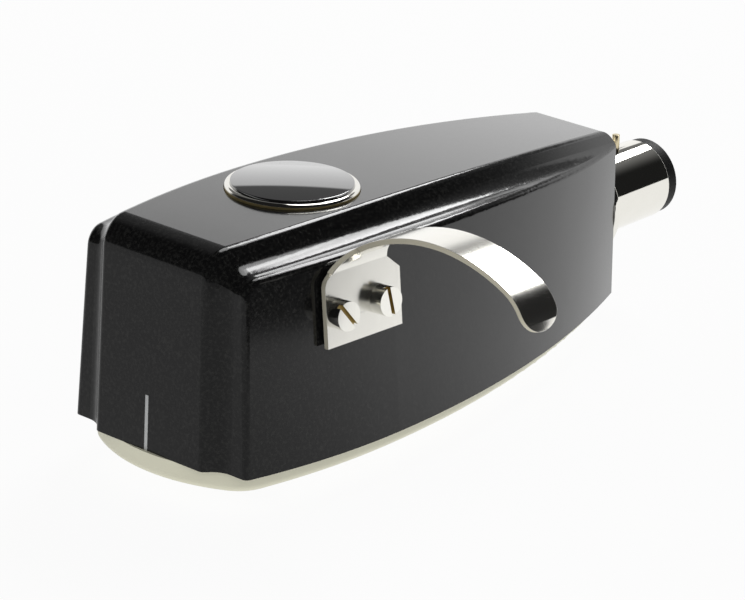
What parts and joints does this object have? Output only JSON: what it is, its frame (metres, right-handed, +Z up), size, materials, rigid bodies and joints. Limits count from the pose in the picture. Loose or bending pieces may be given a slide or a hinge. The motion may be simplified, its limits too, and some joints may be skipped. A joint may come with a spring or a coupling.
{
  "type": "turntable pickup head",
  "caption": "Tone arm pickup head: black shell with a raised ridge, bayonet plug, bent finger lift, ivory base and a sprung moving-coil stylus.",
  "frame": {"origin": "on the plug's axis, in the plane of the flange's rear face where the head seats on the arm", "axes": "+Y along the plug into the tone arm, +Z up away from the record, +X to the finger lift's side"},
  "size_m": [0.0465, 0.0713, 0.0263],
  "materials": {
    "black_lacquer": "satin black lacquer with a fine grain",
    "ivory": "smooth ivory moulding",
    "bright_metal": "polished plating",
    "nickel": "polished nickel plate",
    "black_gloss": "polished black",
    "black_matte": "moulded insulator",
    "gilt": "bright brass",
    "steel": "plain steel",
    "soft_iron": "soft iron",
    "magnet_alloy": "ground magnet alloy",
    "board": "laminate board",
    "bracket": "moulded carrier",
    "rubber": "soft damper",
    "copper": "enamelled copper winding",
    "aluminium": "thin drawn tube",
    "diamond": "polished point",
    "lead_white": "insulated lead",
    "lead_blue": "insulated lead",
    "lead_green": "insulated lead",
    "lead_red": "insulated lead"
  },
  "bodies": {
    "head": {"shell": "black_lacquer", "base_cover": "ivory", "base_cover_screws": "nickel", "badge_bezel": "bright_metal", "badge_dome": "black_gloss", "finger_lift": "nickel", "finger_lift_screws": "nickel", "plug_sleeve": "bright_metal", "locating_pin": "gilt", "plug_insulator": "black_matte", "plug_set_screw": "steel", "generator_bracket": "bracket", "generator_screws": "steel", "magnet": "magnet_alloy", "front_pole": "soft_iron", "rear_pole": "soft_iron", "pole_pin": "soft_iron", "wire_clamp_screw": "steel", "tension_wire": "steel", "terminal_board": "board", "terminal_pins": "gilt", "contact_pin_white": "gilt", "lead_wire_white": "lead_white", "contact_pin_blue": "gilt", "lead_wire_blue": "lead_blue", "contact_pin_green": "gilt", "lead_wire_green": "lead_green", "contact_pin_red": "gilt", "lead_wire_red": "lead_red"},
    "suspension": {"damper_ring": "rubber"},
    "stylus_arm": {"cantilever": "aluminium", "stylus_tip": "diamond", "armature_core": "soft_iron", "coil_left": "copper", "coil_right": "copper"}
  },
  "joints": [
    {"name": "suspension_yaw", "type": "hinge", "parent": "head", "child": "suspension", "pos_m": [0, -0.04505, -0.00849], "axis": [0, -0.3746, 0.9272], "range_deg": [-3, 3], "stiffness_Nm_per_rad": 0.0042},
    {"name": "stylus_pitch", "type": "hinge", "parent": "suspension", "child": "stylus_arm", "pos_m": [0, -0.04505, -0.00849], "axis": [1, 0, 0], "range_deg": [-3.5, 3.5], "stiffness_Nm_per_rad": 0.0042}
  ]
}
